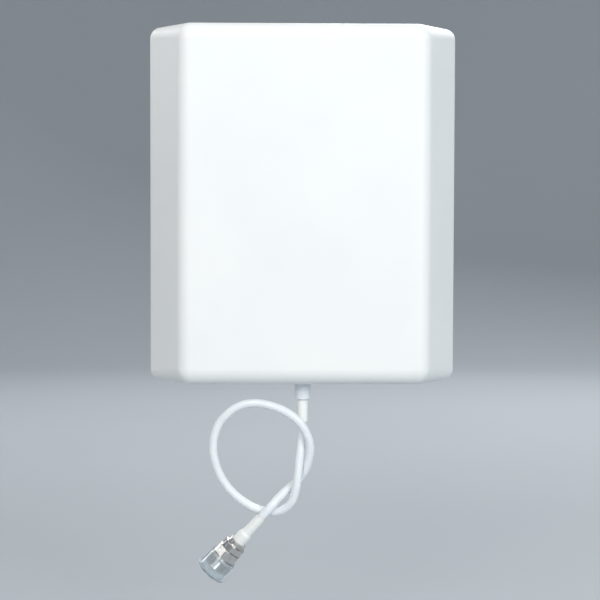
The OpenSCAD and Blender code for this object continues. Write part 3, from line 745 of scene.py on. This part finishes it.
def hex_bolt(size, length, thread, turn=0.0):
    """Bolt with its head below the origin, threaded over its last stretch."""
    r, head = size["r"], size["head"]
    start = length - thread
    end = length - 1 * MM
    turned_r = corner_r(size) * CORNER_TURNED
    before = [(0, -head)]
    after = [(r, 0), (r, start)]
    tail = [(r, end), (r - 0.8 * MM, length), (0, length)]
    return hexagon(size["af"], turned_r, turn, before, -head, 0, after,
                   helix=(r, size["pitch"], start, end, tail))


def hex_nut(size, height, turn=0.0, collar=0.0):
    """Nut from the origin upwards, with countersunk bore ends and a collar on a lock nut."""
    bore = size["r"] + 0.05 * MM
    turned_r = corner_r(size) * CORNER_TURNED
    sink = 0.4 * MM
    before = [(bore, sink), (bore + sink, 0)]
    top = height + collar
    collar_r = size["r"] + 1.6 * MM
    after = [(collar_r, height), (collar_r - 0.1 * MM, top)] if collar else []
    after += [(bore + sink, top), (bore, top - sink)]
    return hexagon(size["af"], turned_r, turn, before, 0, height, after)


def threaded_rod(size, length):
    r = size["r"]
    low, high = 0.5 * MM, length - 0.6 * MM
    before = [(0, 0), (r - 0.5 * MM, 0), (r, low)]
    after = [(r, high), (r - 0.6 * MM, length), (0, length)]
    count = len(helix_points(0, r, size["pitch"], low, high))

    def profile(angle):
        return before + helix_points(angle, r, size["pitch"], low, high) + after

    return revolve(profile, even_angles(32), helix=(len(before), len(before) + count))


def cross_cutter(reach, half, deep):
    """Tapered cross-shaped plug that cuts a screw's recess, pointing up from below the head."""
    corners = [(reach, half), (half, half), (half, reach)]
    outline = []
    for k in range(4):
        a = k * math.pi / 2
        for x, y in corners:
            outline.append((x * math.cos(a) - y * math.sin(a), x * math.sin(a) + y * math.cos(a)))
    verts = [(x * s, y * s, z) for z, s in ((-deep, 1.15), (deep, 0.55)) for x, y in outline]
    count = len(outline)
    faces = [tuple(range(count)), tuple(range(2 * count - 1, count - 1, -1))]
    faces += [(i, (i + 1) % count, count + (i + 1) % count, count + i) for i in range(count)]
    return verts, faces


def cut(shape, cutter):
    """The shape with the cutter taken away, as vertices and faces."""
    blank, tool = (linked("scratch", merged_mesh("scratch", part)) for part in (shape, cutter))
    boolean = blank.modifiers.new("cut", "BOOLEAN")
    boolean.operation = "DIFFERENCE"
    boolean.solver = "EXACT"
    boolean.object = tool
    bpy.context.view_layer.update()
    result = bpy.data.meshes.new_from_object(blank.evaluated_get(bpy.context.evaluated_depsgraph_get()))
    verts = [tuple(v.co) for v in result.vertices]
    faces = [tuple(p.vertices) for p in result.polygons]
    for obj in (blank, tool):
        bpy.data.objects.remove(obj)
    return verts, faces


def pan_screw(r, head_r, head, length):
    """Pan-head screw with a cross recess, its head below the origin and its shank above."""
    outline = rounded([
        (0, -head), (head_r * 0.55, -head), (head_r * 0.93, -head * 0.55), (head_r, -head * 0.15),
        (head_r, 0), (r, 0), (r, length - 1 * MM), (0.3 * MM, length), (0, length)], 0.8 * MM)
    blank = revolve(lambda _: outline, even_angles(40))
    recess = placed(cross_cutter(head_r * 0.52, 0.42 * MM, head * 0.68), Matrix.Translation((0, 0, -head)))
    return cut(blank, recess)


def group(name, node, body, shapes, look="zinc_steel"):
    return piece(name, joined(shapes), look, body, [node])


def add_clamp_bolts():
    low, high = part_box("clamp_bolts")
    head = M8["head"]
    x = high.x - corner_r(M8)
    length = high.y - low.y - head
    shapes = [placed(hex_bolt(M8, length, 42 * MM, turn),
                     frame_along((side * x, low.y + head, 0), (0, 1, 0), (1, 0, 0)))
              for side, turn in ((-1, 0.0), (1, 0.35))]
    group("clamp_bolt_pair", "clamp_bolts", "pole_mount", shapes)
    low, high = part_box("clamp_nuts")
    height = high.y - low.y
    shapes = [placed(hex_nut(M8, height, turn), frame_along((side * x, low.y, 0), (0, 1, 0), (1, 0, 0)))
              for side, turn in ((-1, 0.2), (1, -0.3))]
    group("clamp_nut_pair", "clamp_nuts", "rear_jaw_set", shapes)


def add_pivot():
    low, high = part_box("pivot_bolt")
    middle = (low + high) / 2
    start = (high.x - M8["head"], middle.y, middle.z)
    length = high.x - M8["head"] - low.x
    bolt = placed(hex_bolt(M8, length, 16 * MM, 0.15), frame_along(start, (-1, 0, 0), (0, 0, 1)))
    group("pivot_hex_bolt", "pivot_bolt", "pole_mount", [bolt])
    low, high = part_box("pivot_nut")
    collar = 1.5 * MM
    nut = placed(hex_nut(M8, high.x - low.x - collar, 0.4, collar),
                 frame_along((high.x, middle.y, middle.z), (-1, 0, 0), (0, 0, 1)))
    group("pivot_lock_nut", "pivot_nut", "pole_mount", [nut])


def add_lock_bolts():
    low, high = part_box("lock_bolts")
    middle = (low + high) / 2
    ear_in = 20 * MM
    length = high.x - ear_in
    sides = ((-1, 0.1), (1, 0.45))
    bolts = [placed(hex_bolt(M6, length, 12 * MM, turn),
                    frame_along((side * ear_in, middle.y, middle.z), (side, 0, 0), (0, 0, 1)))
             for side, turn in sides]
    group("lock_bolt_pair", "lock_bolts", "pole_mount", bolts)
    _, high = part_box("lock_nuts")
    height = 5 * MM
    nuts = [placed(hex_nut(M6, height, turn + 0.3),
                   frame_along((side * (high.x - height), middle.y, middle.z), (side, 0, 0), (0, 0, 1)))
            for side, turn in sides]
    group("lock_nut_pair", "lock_nuts", "pole_mount", nuts)


def add_bracket_studs():
    low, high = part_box("bracket_studs")
    head_r, head = 3.9 * MM, 1.2 * MM
    spots = [(sx * (high.x - head_r), sz * (high.z - head_r)) for sx in (-1, 1) for sz in (-1, 1)]
    heads = lathe([(0, 0), (head_r, 0), (head_r, head), (0, head)], 48, closed=False)
    rod = threaded_rod(M5, high.y - low.y - head)
    shapes = []
    for x, z in spots:
        shapes.append(placed(heads, frame_along((x, low.y, z), (0, 1, 0), (1, 0, 0))))
        shapes.append(placed(rod, frame_along((x, low.y + head, z), (0, 1, 0), (1, 0, 0))))
    group("bracket_stud_set", "bracket_studs", "panel", shapes)
    low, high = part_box("bracket_nuts")
    nuts = [placed(hex_nut(M5, high.y - low.y, 0.7 * n), frame_along((x, low.y, z), (0, 1, 0), (1, 0, 0)))
            for n, (x, z) in enumerate(spots)]
    group("bracket_nut_set", "bracket_nuts", "panel", nuts)


def add_cover_screws():
    low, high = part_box("cover_screws")
    head_r, head = 3.4 * MM, 2.2 * MM
    x, z = high.x - head_r, high.z - head_r
    inner_x = 30 * MM
    spots = [(sx * x, level * z) for sx in (-1, 1) for level in (-1, 0, 1)]
    spots += [(sx * inner_x, sz * z) for sx in (-1, 1) for sz in (-1, 1)]
    screw = pan_screw(1.7 * MM, head_r, head, high.y - low.y - head)
    shapes = [placed(screw, frame_along((px, BACK_Y, pz), (0, -1, 0), (1, 0, 0)) @ Matrix.Rotation(n, 4, "Z"))
              for n, (px, pz) in enumerate(spots)]
    group("cover_screw_set", "cover_screws", "panel", shapes)


# ---- CAD nodes that stay ----

KEPT = {
    "gasket_rubber": ["radome_gasket"],
    "rolled_aluminium": ["back_plate", "reflector_tray"],
    "patch_metal": ["low_band_patch", "high_band_patch"],
    "copper_strip": ["feed_strip"],
    "gold_contact": ["ground_post", "connector_contact"],
    "nylon": ["patch_spacers", "stack_spacers", "patch_screws", "coax_clip", "friction_washers"],
    "cable_jacket": ["inner_coax"],
    "gland_plastic": ["gland_nut"],
    "nickel_plate": ["crimp_ferrule"],
    "ptfe": ["connector_insulator"],
    "galvanised_steel": ["panel_bracket", "pole_bracket"],
    "cast_alloy": ["front_jaw", "rear_jaw"],
    "zinc_steel": ["tray_standoffs", "tray_screws", "coax_clip_screws", "bracket_washers",
                   "clamp_head_washers", "pivot_washers", "pivot_spacer", "lock_washers", "clamp_washers",
                   "clamp_spring_washers"],
}
# Most that edges are softened by (the short edges of the jaws' curves hold the bevel to about 0.1 mm there),
# and the distance that merges the points which a bevel leaves on top of each other
EDGE_SOFTNESS = {"front_jaw": 0.7 * MM, "rear_jaw": 0.7 * MM, "panel_bracket": 0.35 * MM,
                 "pole_bracket": 0.35 * MM}
DEFAULT_SOFTNESS = 0.12 * MM
BEVEL_WELD = 0.005 * MM


def finish_node(node, look):
    """Gives a CAD node its material and softens its edges with modifiers, which leave its own mesh alone."""
    obj = frame["nodes"][node]
    if not obj.material_slots:
        obj.data.materials.append(LOOKS[look])
    for place in obj.material_slots:
        place.material = LOOKS[look]
    weld = obj.modifiers.new("weld", "WELD")
    weld.merge_threshold = 0.001 * MM
    flatten = obj.modifiers.new("flatten", "DECIMATE")
    flatten.decimate_type = "DISSOLVE"
    flatten.angle_limit = math.radians(0.5)
    soften = obj.modifiers.new("soften", "BEVEL")
    soften.width = EDGE_SOFTNESS.get(node, DEFAULT_SOFTNESS)
    soften.segments = 2
    soften.limit_method = "ANGLE"
    soften.angle_limit = math.radians(32)
    clean = obj.modifiers.new("clean", "WELD")
    clean.merge_threshold = BEVEL_WELD
    weighted = obj.modifiers.new("weighted_normals", "WEIGHTED_NORMAL")
    weighted.keep_sharp = False


# ---- Stage and light ----

def add_stage():
    """Pale round floor below the lead, which curves up into a wall all round."""
    floor_z = CAD_LOW.z - 0.05
    inner, curve, top = 1.9, 0.8, 1.3
    outline = [(0, floor_z), (inner, floor_z)]
    outline += [(inner + curve * math.sin(a), floor_z + curve * (1 - math.cos(a)))
                for a in (math.pi / 2 * k / 12 for k in range(1, 13))]
    outline.append((inner + curve, floor_z + curve + top))
    mesh = merged_mesh("floor", revolve(lambda _: outline, even_angles(96)), closed=False, apart=MM)
    look = Surface("floor_paper", (0.42, 0.45, 0.48), 0.8)
    look.colour(look.noise(400 * MM, 2), (0.415, 0.445, 0.475), (0.425, 0.455, 0.485))
    mesh.materials.append(look.material)
    linked("floor", mesh)


def add_light(name, at, size, power, colour=(1, 1, 1), aim=(0, -0.08, -0.03)):
    data = bpy.data.lights.new(name, "AREA")
    data.shape = "RECTANGLE"
    data.size, data.size_y = size
    data.energy = power
    data.color = colour
    light = bpy.data.objects.new(name, data)
    light.location = at
    light.rotation_euler = (Vector(aim) - Vector(at)).to_track_quat("-Z", "Y").to_euler()
    light.visible_camera = False
    bpy.context.scene.collection.objects.link(light)


def add_lights():
    world = bpy.data.worlds.new("studio")
    world.use_nodes = True
    sky = world.node_tree.nodes["Background"]
    sky.inputs["Color"].default_value = (0.90, 0.95, 1.0, 1)
    sky.inputs["Strength"].default_value = 0.38
    bpy.context.scene.world = world
    add_light("key", (-0.55, -1.85, 0.85), (1.1, 0.9), 17.3, (1, 0.965, 0.91))
    add_light("front_fill", (0.95, -1.65, 0.65), (0.9, 1.0), 18.5, (0.95, 0.99, 1))
    add_light("top", (0, -0.1, 1.9), (1.4, 1.4), 6)
    add_light("strip", (-1.51, -0.50, 0.30), (0.2, 0.3), 0.3, aim=PLUG_REAR)
    add_light("back", (0.7, 1.6, 1.0), (1.3, 1.0), 20)
    add_light("back_left", (-1.3, 1.2, 0.7), (0.7, 1.0), 7)


# ---- Build ----

plate_low, plate_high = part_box("back_plate")
radome_low, radome_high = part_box("radome")
BACK_Y = plate_high.y
HALF_W = radome_high.x
HALF_H = radome_high.z
HOUSING_BOTTOM = radome_low.z
DEPTH = BACK_Y - radome_low.y

on_lead = [add_exit_sleeve(), add_connector_sleeve(), add_connector_nut(), add_connector_body(), add_cap()]
on_lead += [frame["nodes"][name] for name in ("crimp_ferrule", "connector_insulator", "connector_contact")]
add_radome()
add_gland()
add_clamp_bolts()
add_pivot()
add_lock_bolts()
add_bracket_studs()
add_cover_screws()
for look_name, node_names in KEPT.items():
    for node_name in node_names:
        finish_node(node_name, look_name)
add_stage()
add_lights()
bpy.context.scene.view_settings.view_transform = "Standard"
